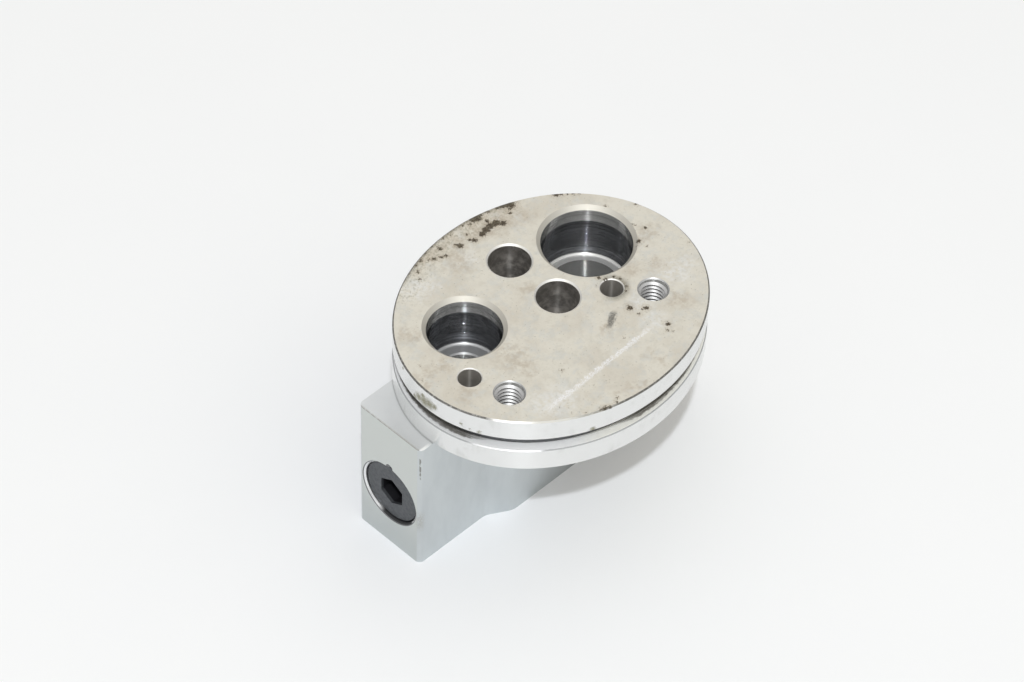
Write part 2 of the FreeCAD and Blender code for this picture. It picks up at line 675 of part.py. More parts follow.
def make_charge_plug():
    """Plug that is welded on the dome, over the filling hole, once the head is charged."""
    crown = DOME_TOP + CHARGE_PLUG_HEIGHT
    plug = turned([
        (0, DOME_TOP - HEAD_WALL),
        (CHARGE_PLUG_RADIUS, DOME_TOP - HEAD_WALL),
        (CHARGE_PLUG_RADIUS, crown - CHARGE_PLUG_CROWN),
        (CHARGE_PLUG_RADIUS - CHARGE_PLUG_CROWN, crown),
        (0, crown),
    ])
    return plug.cut(make_head_cap())


PIECES = {
    "valve_body": make_valve_body,
    "adjusting_plug": make_adjusting_plug,
    "plug_o_ring": make_plug_ring,
    "superheat_spring": make_spring,
    "ball_carrier": make_ball_carrier,
    "damper_ring": make_damper,
    "valve_ball": make_ball,
    "seat_ring": make_seat,
    "push_rod": make_push_rod,
    "rod_o_ring": make_rod_ring,
    "backing_washer": make_backing_washer,
    "star_clip": make_clip,
    "sensing_stem": make_sensing_stem,
    "stop_plate": make_stop_plate,
    "head_lower_cup": make_head_base,
    "head_o_ring": make_head_ring,
    "diaphragm": make_diaphragm,
    "head_upper_cup": make_head_cap,
    "charge_plug": make_charge_plug,
}

os.makedirs("parts", exist_ok=True)
for name, make in PIECES.items():
    piece = make()
    if len(piece.Solids) == 1:
        piece = piece.Solids[0]
    box = piece.BoundBox
    print(
        f"{name:18s} solids {len(piece.Solids)} valid {piece.isValid()} volume {piece.Volume:9.2f}"
        f"  x {box.XMin:7.2f} {box.XMax:7.2f}  y {box.YMin:7.2f} {box.YMax:7.2f}"
        f"  z {box.ZMin:6.2f} {box.ZMax:6.2f}"
    )
    piece.exportStep(os.path.join("parts", name + ".step"))
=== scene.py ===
"""Block type expansion valve with an oval sealing flange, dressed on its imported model.

Lengths are in millimetres in the names and tables, and in metres in the meshes. The frame is the
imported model's: origin on the base face between the screw holes, X along the valve axis, Z up.
"""

import bpy
import math
from mathutils import Matrix, Vector


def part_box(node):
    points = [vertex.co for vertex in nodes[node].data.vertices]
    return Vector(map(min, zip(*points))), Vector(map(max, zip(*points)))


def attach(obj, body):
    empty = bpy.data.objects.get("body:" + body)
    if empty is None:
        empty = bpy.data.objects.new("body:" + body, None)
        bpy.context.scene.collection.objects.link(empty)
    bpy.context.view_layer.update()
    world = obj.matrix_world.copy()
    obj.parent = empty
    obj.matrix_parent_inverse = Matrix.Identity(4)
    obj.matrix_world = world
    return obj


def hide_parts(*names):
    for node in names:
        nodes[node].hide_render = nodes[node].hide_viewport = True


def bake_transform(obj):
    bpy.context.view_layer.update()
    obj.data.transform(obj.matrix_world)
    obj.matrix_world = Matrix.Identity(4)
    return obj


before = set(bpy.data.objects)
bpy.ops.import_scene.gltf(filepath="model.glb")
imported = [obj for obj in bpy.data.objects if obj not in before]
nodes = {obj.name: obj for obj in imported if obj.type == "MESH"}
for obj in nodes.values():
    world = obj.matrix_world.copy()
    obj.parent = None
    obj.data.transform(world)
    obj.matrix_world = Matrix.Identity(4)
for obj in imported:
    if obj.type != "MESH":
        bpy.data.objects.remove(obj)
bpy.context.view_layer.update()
scene = bpy.context.scene
MM = 0.001


# Camera. It looks down at the flange over the plug's corner of the block, from the photograph's
# place. It was fitted to the flange's oval, the rims of the ports and holes and the block's edges.
PICTURE_WIDTH = 1024
PICTURE_HEIGHT = 682
FOCAL_PIXELS = 3882.0
SENSOR_WIDTH = 36.0
AZIMUTH = math.radians(-46.428)
ELEVATION = math.radians(47.099)
ROLL = math.radians(1.901)
DISTANCE = 759.95
LOOK_AT = Vector((-15.180, -9.071, 48.0))
CLIP_NEAR = 0.01
CLIP_FAR = 50

back = Vector((
    math.sin(AZIMUTH) * math.cos(ELEVATION),
    -math.cos(AZIMUTH) * math.cos(ELEVATION),
    math.sin(ELEVATION),
))
level = Vector((math.cos(AZIMUTH), math.sin(AZIMUTH), 0))
upward = back.cross(level)
picture_right = level * math.cos(ROLL) + upward * math.sin(ROLL)
picture_up = upward * math.cos(ROLL) - level * math.sin(ROLL)
eye = LOOK_AT + back * DISTANCE

camera_data = bpy.data.cameras.new("camera")
camera_data.sensor_width = SENSOR_WIDTH
camera_data.lens = FOCAL_PIXELS * SENSOR_WIDTH / PICTURE_WIDTH
camera_data.clip_start = CLIP_NEAR
camera_data.clip_end = CLIP_FAR
camera = bpy.data.objects.new("camera", camera_data)
scene.collection.objects.link(camera)
camera.matrix_world = Matrix((
    (picture_right.x, picture_up.x, back.x, eye.x * MM),
    (picture_right.y, picture_up.y, back.y, eye.y * MM),
    (picture_right.z, picture_up.z, back.z, eye.z * MM),
    (0, 0, 0, 1),
))
scene.camera = camera


# Valve body. Block and flange are one piece of aluminium: the bar keeps its satin skin, and the
# flange, its groove and the bores are turned and milled bright. Years of use left dirt and stains.
class Value:
    """A shader number or colour. Sums with it add the Math nodes that work them out."""

    def __init__(self, maker, socket):
        self.maker = maker
        self.socket = socket

    def __add__(self, other):
        return self.maker.math("ADD", self, other)

    def __radd__(self, other):
        return self.maker.math("ADD", other, self)

    def __sub__(self, other):
        return self.maker.math("SUBTRACT", self, other)

    def __rsub__(self, other):
        return self.maker.math("SUBTRACT", other, self)

    def __mul__(self, other):
        return self.maker.math("MULTIPLY", self, other)

    def __rmul__(self, other):
        return self.maker.math("MULTIPLY", other, self)

    def __truediv__(self, other):
        return self.maker.math("DIVIDE", self, other)

    def __pow__(self, other):
        return self.maker.math("POWER", self, other)

    def __abs__(self):
        return self.maker.math("ABSOLUTE", self)


class Shading:
    """A node tree in the making, for a finish or for the room."""

    def __init__(self, tree):
        self.tree = tree
        tree.nodes.clear()

    def node(self, kind, settings=None, inputs=None, output=0):
        """Add one node: its settings first, then the values or links of its sockets."""
        node = self.tree.nodes.new(kind)
        for key, value in (settings or {}).items():
            setattr(node, key, value)
        for key, value in (inputs or {}).items():
            if isinstance(value, Value):
                self.tree.links.new(value.socket, node.inputs[key])
            elif isinstance(value, tuple) and len(value) == 3 and node.inputs[key].type == "RGBA":
                node.inputs[key].default_value = (*value, 1)
            else:
                node.inputs[key].default_value = value
        return Value(self, node.outputs[output]) if node.outputs else None

    def math(self, operation, *terms):
        return self.node("ShaderNodeMath", {"operation": operation}, dict(enumerate(terms)))

    def step(self, value, low, high):
        """Smooth rise from 0 to 1 between two values, or a fall where low is above high."""
        rise = self.node(
            "ShaderNodeMapRange",
            {"interpolation_type": "SMOOTHSTEP"},
            {"Value": value, "From Min": min(low, high), "From Max": max(low, high)},
        )
        return rise if low < high else 1 - rise

    def most(self, *masks):
        """The strongest of several masks."""
        found = masks[0]
        for mask in masks[1:]:
            found = self.math("MAXIMUM", found, mask)
        return found

    def mix(self, mask, one, other):
        """Colour that goes from one to the other where the mask rises."""
        return self.node(
            "ShaderNodeMix", {"data_type": "RGBA"}, {"Factor": mask, 6: one, 7: other}, output=2
        )


class Finish(Shading):
    """One procedural material. Finishes are laid over each other where their masks rise."""

    def __init__(self, name, colour, rough, metal):
        self.material = bpy.data.materials.new(name)
        self.material.use_nodes = True
        super().__init__(self.material.node_tree)
        self.colour = colour
        self.rough = rough
        self.metal = metal
        place = self.node("ShaderNodeTexCoord", output="Object")
        self.place = self.node("ShaderNodeVectorMath", {"operation": "SCALE"}, {0: place, "Scale": 1 / MM})
        self.x, self.y, self.z = (
            self.node("ShaderNodeSeparateXYZ", inputs={0: self.place}, output=axis) for axis in "XYZ"
        )

    def noise(self, scale, detail=2.0, roughness=0.5, place=None):
        """Soft noise with a given number of features per millimetre."""
        return self.node(
            "ShaderNodeTexNoise",
            inputs={
                "Vector": place or self.place, "Scale": scale, "Detail": detail, "Roughness": roughness,
            },
        )

    def stretched(self, scale_x, scale_y, scale_z):
        """The place, stretched to draw noise out into lines."""
        return self.node(
            "ShaderNodeVectorMath", {"operation": "MULTIPLY"}, {0: self.place, 1: (scale_x, scale_y, scale_z)}
        )

    def distance(self, *centre, place=None):
        """Distance in millimetres from an upright line through (x, y), or from a point (x, y, z)."""
        if len(centre) == 2:
            place = self.node("ShaderNodeCombineXYZ", inputs={"X": self.x, "Y": self.y})
            centre = (*centre, 0.0)
        return self.node(
            "ShaderNodeVectorMath", {"operation": "DISTANCE"}, {0: place or self.place, 1: centre},
            output="Value",
        )

    def ragged(self, scale, reach):
        """The place, pushed about so that round masks get ragged edges."""
        push = self.node(
            "ShaderNodeTexNoise", inputs={"Vector": self.place, "Scale": scale, "Detail": 4.0}, output="Color"
        )
        push = self.node("ShaderNodeVectorMath", {"operation": "SUBTRACT"}, {0: push, 1: (0.5, 0.5, 0.5)})
        push = self.node("ShaderNodeVectorMath", {"operation": "SCALE"}, {0: push, "Scale": reach})
        return self.node("ShaderNodeVectorMath", {"operation": "ADD"}, {0: self.place, 1: push})

    def nearest(self, spots, place):
        """Distance to the nearest of many spots (x, y, z, radius), as a share of its radius."""
        found = None
        for *centre, radius in spots:
            share = self.distance(*centre, place=place) / radius
            found = share if found is None else self.math("MINIMUM", found, share)
        return found

    def facing(self, axis):
        """Part of the surface's own normal along an axis: 1 where it looks that way, 0 beside it."""
        normal = self.node("ShaderNodeNewGeometry", output="True Normal")
        return self.node("ShaderNodeSeparateXYZ", inputs={0: normal}, output=axis)

    def lay(self, mask, colour, rough=None, metal=None):
        """Lay a colour, and with it a roughness and a metal share, where the mask rises."""
        self.colour = self.mix(mask, self.colour, colour)
        if rough is not None:
            self.rough = self.rough + mask * (rough - self.rough)
        if metal is not None:
            self.metal = self.metal + mask * (metal - self.metal)

    def grooved(self, lines, axis, depth, normal=None):
        """Normal of a turned surface, whose fine rings lean it to and fro along one axis."""
        slope = (self.noise(1.0, 0.0, place=lines) - 0.5) * depth
        tilt = self.node("ShaderNodeVectorMath", {"operation": "SCALE"}, {0: axis, "Scale": slope})
        normal = normal or self.node("ShaderNodeNewGeometry", output="Normal")
        bent = self.node("ShaderNodeVectorMath", {"operation": "ADD"}, {0: normal, 1: tilt})
        return self.node("ShaderNodeVectorMath", {"operation": "NORMALIZE"}, {0: bent})

    def relief(self, height, strength, distance, **more):
        """Normal of a surface with a fine relief on it."""
        return self.node(
            "ShaderNodeBump", inputs={"Height": height, "Strength": strength, "Distance": distance, **more}
        )

    def shader(self, **inputs):
        """Shader of the finish, with the rest of its sockets by their names."""
        return self.node(
            "ShaderNodeBsdfPrincipled",
            inputs={"Base Color": self.colour, "Roughness": self.rough, "Metallic": self.metal, **inputs},
        )

    def finish(self, turned=None, **inputs):
        """Output of the finish. Where it is turned, its fine rings draw highlights out across them."""
        surface = self.shader(**inputs)
        if turned is not None:
            drawn_out = self.shader(**inputs, **{"Anisotropic": 1.0, "Anisotropic Rotation": 0.25})
            surface = self.node("ShaderNodeMixShader", inputs={0: turned, 1: surface, 2: drawn_out})
        self.node("ShaderNodeOutputMaterial", inputs={"Surface": surface})
        return self.material


def dress(name, material):
    """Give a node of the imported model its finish."""
    mesh = nodes[name].data
    mesh.materials.clear()
    mesh.materials.append(material)


def on_face(column, row, height):
    """Place in millimetres where the line of sight through a pixel meets a level face."""
    sight = (
        picture_right * (column - PICTURE_WIDTH / 2)
        + picture_up * (PICTURE_HEIGHT / 2 - row)
        - back * FOCAL_PIXELS
    )
    place = eye + sight * ((height - eye.z) / sight.z)
    return place.x, place.y, height


def box_of(name):
    """Corners of a node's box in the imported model, to a hundredth of a millimetre."""
    return [[round(value / MM, 2) for value in corner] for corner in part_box(name)]


# sizes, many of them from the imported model: the flange reaches furthest on three sides of the
# body's box and the block's plug end on the fourth, and the push rod lies on the valve's axis
FLANGE_MIDDLE = -2.5
FLANGE_BASE = 34.3
GROOVE_LOW = 39.7
GROOVE_HIGH = 42.9
GROOVE_DEPTH = 2.3
HEAD_END = 30.2
HALVINGS = 20
body_low, body_high = box_of("valve_body")
rod_low, rod_high = box_of("push_rod")
TOP = body_high[2]
PLUG_END = body_low[0]
FLANGE_CENTRE = (FLANGE_MIDDLE, (body_low[1] + body_high[1]) / 2)
FLANGE_REACH = (body_high[0] - FLANGE_MIDDLE, (body_high[1] - body_low[1]) / 2)
AXIS_HEIGHT = (rod_low[2] + rod_high[2]) / 2


def on_rim(column, row, low=GROOVE_HIGH, high=TOP):
    """Place where the line of sight through a pixel meets the flange's edge between two heights."""
    for halving in range(HALVINGS):
        middle = (low + high) / 2
        x, y, height = on_face(column, row, middle)
        reach = math.hypot((x - FLANGE_CENTRE[0]) / FLANGE_REACH[0], (y - FLANGE_CENTRE[1]) / FLANGE_REACH[1])
        if reach > 1:
            high = middle
        else:
            low = middle
    return x, y, middle


SKIN = (0.64, 0.672, 0.682)
body = Finish("machined_aluminium", colour=SKIN, rough=0.50, metal=1.0)

# places on the flange in millimetres: in from its oval edge, and from its centre to the picture's
# right and away from the camera
across = (body.x - FLANGE_CENTRE[0]) / FLANGE_REACH[0]
along = (body.y - FLANGE_CENTRE[1]) / FLANGE_REACH[1]
oval = (across ** 2 + along ** 2) ** 0.5
inset = (1 - oval) * oval / ((across / FLANGE_REACH[0]) ** 2 + (along / FLANGE_REACH[1]) ** 2) ** 0.5
sideways = (body.x - FLANGE_CENTRE[0]) * level.x + (body.y - FLANGE_CENTRE[1]) * level.y
away = (body.y - FLANGE_CENTRE[1]) * level.x - (body.x - FLANGE_CENTRE[0]) * level.y

upright = body.facing("Z")
looks_up = body.step(upright, 0.85, 0.95)
bevelled = body.step(upright, 0.35, 0.45) * (1 - looks_up)
top_face = looks_up * body.step(body.z, TOP - 0.08, TOP - 0.04)
flange = body.step(body.z, FLANGE_BASE - 0.02, FLANGE_BASE + 0.02)
rim = flange * body.step(inset, GROOVE_DEPTH + 0.3, GROOVE_DEPTH + 0.1) * (1 - top_face)
mottle = body.noise(1.3, 3.0, 0.65)
fine = body.noise(4.0, 3.0, 0.6)

# the bar's drawn skin, painted shade on its flare under the flange, its sawn ends and the flange's underside
SKIN_CLOUDS = (0.585, 0.617, 0.630)
FLARE_SHADE = (0.34, 0.35, 0.355)
SAWN_END = (0.64, 0.665, 0.645)
SAWN_FOOT = (0.52, 0.55, 0.55)
UNDERSIDE = (0.62, 0.61, 0.58)
skin_cloud = body.noise(0.22, 3.0, 0.6, place=body.stretched(1.0, 1.0, 0.35))
body.lay(body.step(skin_cloud, 0.35, 0.70) * 0.7, SKIN_CLOUDS)
# painted shade: the flared side under the flange is darkened towards the head end
body.lay(body.step(body.x, -12.0, 8.0) * body.step(abs(body.y), 9.0, 10.5) * 0.85, FLARE_SHADE)
sawn = body.step(body.x, PLUG_END + 0.06, PLUG_END + 0.03)
sawn = sawn + body.step(body.x, HEAD_END - 0.06, HEAD_END - 0.03)
body.lay(sawn, SAWN_END, 0.48)
body.lay(sawn * body.step(body.z, 16.0, 2.0) * 0.7, SAWN_FOOT)
body.lay(body.step(upright, -0.85, -0.95), UNDERSIDE, 0.45)

# the block's edges: a brown line along the sawn end's top, a painted highlight at its near corner,
# dashes of dirt down the near corner and a painted shade line in the crease where the flange springs
# from the block
END_LINE = (0.33, 0.31, 0.27)
CORNER_HIGHLIGHT = (0.97, 0.97, 0.96)
CORNER_HIGHLIGHT_CENTRE = (-39.2, -8.7, FLANGE_BASE)
PLUG_CORNER = (-39.55, -8.55)
DASHES = (0.16, 0.15, 0.13)
DASHES_HEIGHT = 28.4
RUBBED = (0.36, 0.33, 0.27)
RUBBED_HEIGHT = 12.6
SPRINGING_SHADE = (0.16, 0.17, 0.18)
SPRINGING_SIDE = 9.2
end_top = body.step(body.x, PLUG_END + 0.35, PLUG_END + 0.10)
end_top = end_top * body.step(body.z, FLANGE_BASE - 0.40, FLANGE_BASE - 0.15)
body.lay(end_top * body.step(mottle, 0.30, 0.50) * 0.7, END_LINE, 0.7)
# painted highlight on the rounded top of the block's near corner
corner_highlight = body.step(body.distance(*CORNER_HIGHLIGHT_CENTRE), 2.8, 0.6)
corner_highlight = corner_highlight * body.step(body.y, -8.15, -8.45) * body.step(body.z, FLANGE_BASE - 0.35, FLANGE_BASE - 0.15)
body.lay(corner_highlight, CORNER_HIGHLIGHT, 0.5, 0.2)
corner = body.distance(*PLUG_CORNER)
dashes = body.noise(1.0, 3.0, place=body.stretched(3.0, 3.0, 0.7))
dashes = dashes * body.step(abs(body.z - DASHES_HEIGHT), 4.2, 2.8)
body.lay(body.step(corner, 0.32, 0.12) * body.step(dashes, 0.42, 0.52) * 0.85, DASHES, 0.8, 0.3)
rubbed = body.step(abs(body.z - RUBBED_HEIGHT), 4.0, 0.5) * body.step(corner, 1.6, 0.2)
body.lay(rubbed * body.step(fine, 0.35, 0.60) * 0.4, RUBBED, 0.7)
# painted shade: a dark line in the crease under the flange, where it springs from the block
springing_shade = body.step(abs(body.z - FLANGE_BASE), 0.22, 0.10) * body.step(abs(inset), 0.22, 0.10)
springing_shade = springing_shade * body.step(abs(body.y), SPRINGING_SIDE, SPRINGING_SIDE - 0.4)
body.lay(springing_shade * 0.8, SPRINGING_SHADE, 0.7, 0.5)

# the milled pipe face, with broad faint stains from large to small: (spread, strength, colour)
PIPE_FACE = (0.722, 0.690, 0.604)
face_stains = (
    (body.step(body.noise(0.13, 5.0, 0.62), 0.42, 0.66), 0.60, (0.62, 0.575, 0.490)),
    (body.step(body.noise(0.35, 4.0, 0.7), 0.46, 0.66), 0.50, (0.605, 0.61, 0.58)),
    (body.step(body.noise(0.8, 5.0, 0.7), 0.46, 0.64), 0.30, (0.57, 0.535, 0.45)),
    (body.step(fine * 0.6 + mottle * 0.4, 0.54, 0.70), 0.30, (0.50, 0.47, 0.39)),
)
body.lay(top_face, PIPE_FACE, 0.40)
for spread, strength, colour in face_stains:
    body.lay(top_face * spread * strength, colour)

# the turned edge of the flange: bright lands, and between them the open groove for the seal. Its
# lower side is dull and pale, its back is dark with dirt and painted shade, and dirt lies in it
# towards both sides.
LAND = (0.86, 0.865, 0.86)
LAND_SMEAR = (0.70, 0.705, 0.69)
GROOVE_SIDE = (0.965, 0.972, 0.99)
GROOVE_WARM_SIDE = (0.97, 0.965, 0.925)
GROOVE_BACK_DIRT_AND_SHADE = (0.13, 0.135, 0.14)
GROOVE_DIRT = (0.085, 0.075, 0.062)
GROOVE_DUST = (0.27, 0.26, 0.235)
GROOVE_LIP = (0.40, 0.41, 0.42)
GLOSSY_LIP = (0.92, 0.925, 0.93)
DIRT_REACH = 1.25
body.lay(rim, LAND, 0.23)
smear = body.noise(0.5, 4.0, 0.65, place=body.stretched(1.0, 1.0, 0.5))
body.lay(rim * body.step(smear, 0.52, 0.72) * 0.45, LAND_SMEAR, 0.30)
groove = rim * body.step(body.z, GROOVE_LOW - 0.05, GROOVE_LOW + 0.01)
groove = groove * body.step(body.z, GROOVE_HIGH + 0.05, GROOVE_HIGH - 0.01) * body.step(inset, 0.15, 0.25)
body.lay(groove, GROOVE_SIDE, 0.42, 0.12)
body.lay(groove * body.step(sideways, 4.0, 12.0), GROOVE_WARM_SIDE)
groove_sides = body.step(abs(sideways - 0.8), 9.5, 18.0)
dirt_reach = groove_sides * (DIRT_REACH + (mottle - 0.5) * 0.9)
foot = groove * body.step(inset + dirt_reach, GROOVE_DEPTH - 0.35, GROOVE_DEPTH + 0.10) * groove_sides
trace_place = body.node("ShaderNodeCombineXYZ", inputs={"X": sideways * 0.25, "Y": inset * 3.0})
trace = body.noise(1.0, 4.0, 0.7, place=trace_place)
dirt_colour = body.mix(body.step(fine, 0.42, 0.66), GROOVE_DIRT, GROOVE_DUST)
body.lay(foot * body.step(trace, 0.24, 0.48), dirt_colour, 0.70, 0.3)
# the groove's back is darkened for dirt and for painted shade under the upper land
groove_back = groove * (1 - body.step(abs(upright), 0.3, 0.6))
body.lay(groove_back, GROOVE_BACK_DIRT_AND_SHADE, 0.5, 0.6)
groove_lip = rim * bevelled * body.step(body.z, GROOVE_LOW + 0.1, GROOVE_LOW - 0.02)
groove_lip = groove_lip * body.step(inset, 0.3, 0.22)
body.lay(groove_lip, GROOVE_LIP, 0.65, 0.4)
glossy_lip = groove_lip * body.step(abs(sideways + 8.0), 8.0, 5.0)
body.lay(glossy_lip, GLOSSY_LIP, 0.25, 1.0)

# the broken edge round the pipe face has painted reflection on it: dark towards both sides and grey
# to the right, with painted shade where its highlight fades, pale between
EDGE = (0.80, 0.79, 0.76)
EDGE_PAINTED_DIM = (0.62, 0.61, 0.57)
EDGE_PAINTED_GREY = (0.34, 0.33, 0.30)
EDGE_PAINTED_DARK = (0.13, 0.125, 0.115)
top_bevel = rim * bevelled * body.step(body.z, TOP - 0.4, TOP - 0.3)
body.lay(top_bevel, EDGE, 0.50)
# painted shade: the edge is dimmed where its highlight fades
body.lay(top_bevel * body.step(sideways, -5.5, -1.5), EDGE_PAINTED_DIM, 0.65, 0.6)
# painted reflection: a grey line along the edge to the right
painted_grey = body.step(sideways, 3.0, 9.0) * body.step(fine, 0.30, 0.55)
body.lay(top_bevel * painted_grey, EDGE_PAINTED_GREY, 0.65, 0.5)
# painted reflection: dark lines along the edge towards both sides
dark_reflection_sides = body.most(body.step(sideways, -9.8, -12.5), body.step(sideways, 10.0, 15.0))
body.lay(top_bevel * dark_reflection_sides * body.step(fine, 0.25, 0.50), EDGE_PAINTED_DARK, 0.6, 0.4)

# bores, by their centres and the reach of their mouths: chamfers like the face, with painted shade at
# the sides of the ports' chamfers, a dull band under each port's mouth, and polished walls below it,
# painted dark for the shade in the bores. The tops of the screw holes get painted shade too. The
# outlet to the evaporator is in the base.
SUCTION_PORT = ((15.2, 0.0), 10.3)
LIQUID_PORT = ((-19.25, 0.0), 8.6)
OUTLET = ((-14.0, 0.0), 7.2)
OUTLET_TOP = 18.0
SCREW_CENTRES = ((0.0, 6.75), (0.0, -6.75))
SCREW_REACH = 4.85
PIN_CENTRES = ((-27.95, -10.2), (9.3, -12.6))
PIN_REACH = 2.65
THREAD_CENTRES = ((-25.2, -18.4), (15.0, -18.6))
THREAD_REACH = 3.35


def within(bores):
    """Mask of what lies inside upright bores, each given by its centre and reach."""
    return body.most(*[body.step(body.distance(*centre), reach, reach - 0.02) for centre, reach in bores])


LEAD_IN = 3.7
WALL_FOOT = 12.2
PORT_WALL_SHADE = (0.12, 0.125, 0.14)
PORT_WALL_SHADE_STREAK = (0.20, 0.205, 0.215)
PORT_LEAD_IN = (0.53, 0.53, 0.525)
PORT_FOOT = (0.56, 0.56, 0.55)
LIQUID_LEDGE = (0.58, 0.58, 0.58)
SUCTION_LEDGE = (0.93, 0.92, 0.89)
SCREW_WALL = (0.52, 0.49, 0.46)
SCREW_SOOT = (0.24, 0.225, 0.21)
SCREW_MOUTH_SHADE = (0.12, 0.11, 0.10)
HOLE_WALL = (0.50, 0.47, 0.44)
HOLE_SOOT = (0.31, 0.30, 0.275)
THREAD_WALL = (0.58, 0.58, 0.57)
MOUTH = (0.80, 0.785, 0.745)
MOUTH_SIDE_SHADE = (0.61, 0.585, 0.525)
THREAD_MOUTH = (0.55, 0.55, 0.54)
cut = (1 - top_face) * (1 - rim) * body.step(body.z, 0.02, 0.04)
outlet = within([OUTLET]) * body.step(body.z, OUTLET_TOP, OUTLET_TOP - 1.0)
ports = body.most(within([SUCTION_PORT, LIQUID_PORT]), outlet) * cut
screws = within([(centre, SCREW_REACH) for centre in SCREW_CENTRES]) * cut
pins = within([(centre, PIN_REACH) for centre in PIN_CENTRES])
threads = within([(centre, THREAD_REACH) for centre in THREAD_CENTRES])
holes = body.most(pins, threads) * cut * body.step(body.z, FLANGE_BASE + 0.2, FLANGE_BASE + 0.3)
threads = threads * holes
streaks = body.noise(1.0, 3.0, 0.6, place=body.stretched(0.4, 0.4, 3.0))
# painted shade: the polished port walls are laid dark for the shade deep in the bores, with lighter ring
# streaks
body.lay(ports, body.mix(streaks, PORT_WALL_SHADE, PORT_WALL_SHADE_STREAK), 0.06)
lead_in = ports * body.step(body.z, TOP - LEAD_IN - 0.25, TOP - LEAD_IN)
body.lay(lead_in, PORT_LEAD_IN, 0.13, 0.85)
below = ports * body.step(body.z, TOP - WALL_FOOT - 0.6, TOP - WALL_FOOT - 0.9)
body.lay(below, PORT_FOOT, 0.12, 0.60)
ledge = body.mix(body.step(body.x, -5.0, 5.0), LIQUID_LEDGE, SUCTION_LEDGE)
body.lay(ports * body.step(upright, 0.30, 0.80), ledge, 0.38, 0.8)
soot = body.noise(0.5, 4.0, 0.65)
body.lay(screws, body.mix(body.step(soot, 0.34, 0.62), SCREW_WALL, SCREW_SOOT), 0.46, 0.65)
# painted shade: the upper part of each screw hole is darkened
body.lay(screws * body.step(body.z, TOP - 4.5, TOP - 2.0) * 0.6, SCREW_MOUTH_SHADE, 0.6)
body.lay(holes, body.mix(soot, HOLE_WALL, HOLE_SOOT), 0.46, 0.7)
body.lay(threads, THREAD_WALL, 0.36)
mouths = bevelled * body.step(body.z, TOP - 1.0, TOP - 0.9)
body.lay(body.most(ports, screws, holes) * mouths, MOUTH, 0.58, 1.0)
body.lay(threads * mouths, THREAD_MOUTH, 0.40)
# painted shade: the ports' chamfers are darkened at their sides, leaving them bright only at the far side
for (centre_x, centre_y), reach in (SUCTION_PORT, LIQUID_PORT):
    beside = abs((body.x - centre_x) * level.x + (body.y - centre_y) * level.y)
    body.lay(ports * mouths * body.step(beside, reach * 0.50, reach * 0.85), MOUTH_SIDE_SHADE, 0.60)

# mouth of the plug's thread, with a painted shadow in the gap at its foot, and the dent of the punch
# mark above it
PLUG_MOUTH_REACH = 7.9
PLUG_MOUTH = (0.86, 0.865, 0.87)
PLUG_MOUTH_RING = (0.20, 0.205, 0.21)
PLUG_MOUTH_SHADOW = (0.030, 0.030, 0.032)
DENT = (0.27, 0.275, 0.28)
DENT_HEIGHT = 22.2
DENT_REACH = 1.25
from_axis = (body.y ** 2 + (body.z - AXIS_HEIGHT) ** 2) ** 0.5
plug_side = body.step(body.x, PLUG_END + 3.0, PLUG_END + 2.0)
mouth = plug_side * body.step(from_axis, PLUG_MOUTH_REACH, PLUG_MOUTH_REACH - 0.05)
mouth = mouth * body.step(body.x, PLUG_END + 0.01, PLUG_END + 0.04)
body.lay(mouth, PLUG_MOUTH, 0.35)
body.lay(mouth * body.step(from_axis, 7.52, 7.62), PLUG_MOUTH_RING, 0.5)
# painted shadow in the gap between plug and body at the mouth's foot
mouth_foot_shadow = mouth * body.step(body.z, AXIS_HEIGHT - 3.2, AXIS_HEIGHT - 4.4) * body.step(body.y, 3.8, 1.6)
body.lay(mouth_foot_shadow * body.step(body.x, PLUG_END + 0.10, PLUG_END + 0.22), PLUG_MOUTH_SHADOW, 0.6, 0.3)
dent = plug_side * body.step(body.distance(PLUG_END, 0.0, DENT_HEIGHT), DENT_REACH, DENT_REACH - 0.15)
dent = dent * body.step(body.x, PLUG_END + 0.01, PLUG_END + 0.05)
body.lay(dent, DENT, 0.5)

# stains and pale patches: (column, row, radius in millimetres) of each on the pipe face
STAINS = (
    (512, 357, 3.4), (524, 362, 2.4), (503, 352, 2.0), (528, 372, 1.6), (442, 366, 2.2), (430, 372, 1.8),
    (630, 389, 1.3), (620, 391, 1.2), (645, 384, 1.3), (652, 352, 1.2), (661, 361, 1.3), (605, 330, 1.4),
    (470, 228, 3.6), (492, 222, 3.6), (505, 216, 3.0), (448, 240, 3.2), (430, 254, 3.0), (415, 262, 2.4),
    (460, 262, 3.4), (520, 215, 2.6), (528, 288, 1.8), (600, 272, 2.0), (622, 285, 1.4), (632, 268, 1.8),
    (646, 232, 2.0), (655, 262, 1.8), (408, 335, 1.8), (418, 385, 2.6), (470, 392, 2.2), (680, 300, 2.0),
)
PALES = (
    (418, 290, 2.6), (432, 286, 1.8), (470, 258, 1.6), (405, 292, 1.4), (572, 224, 1.2), (560, 400, 3.4),
    (545, 405, 3.4), (675, 272, 3.0), (690, 262, 2.0), (640, 300, 2.4), (655, 320, 2.2),
)
STAIN = (0.60, 0.53, 0.43)
DEEP_STAIN = (0.42, 0.36, 0.28)
PALE_PATCH = (0.82, 0.83, 0.83)


def share_on_face(spots, place):
    """Distance to the nearest of the spots on the pipe face, as a share of its radius."""
    return body.nearest([(*on_face(column, row, TOP), radius) for column, row, radius in spots], place)


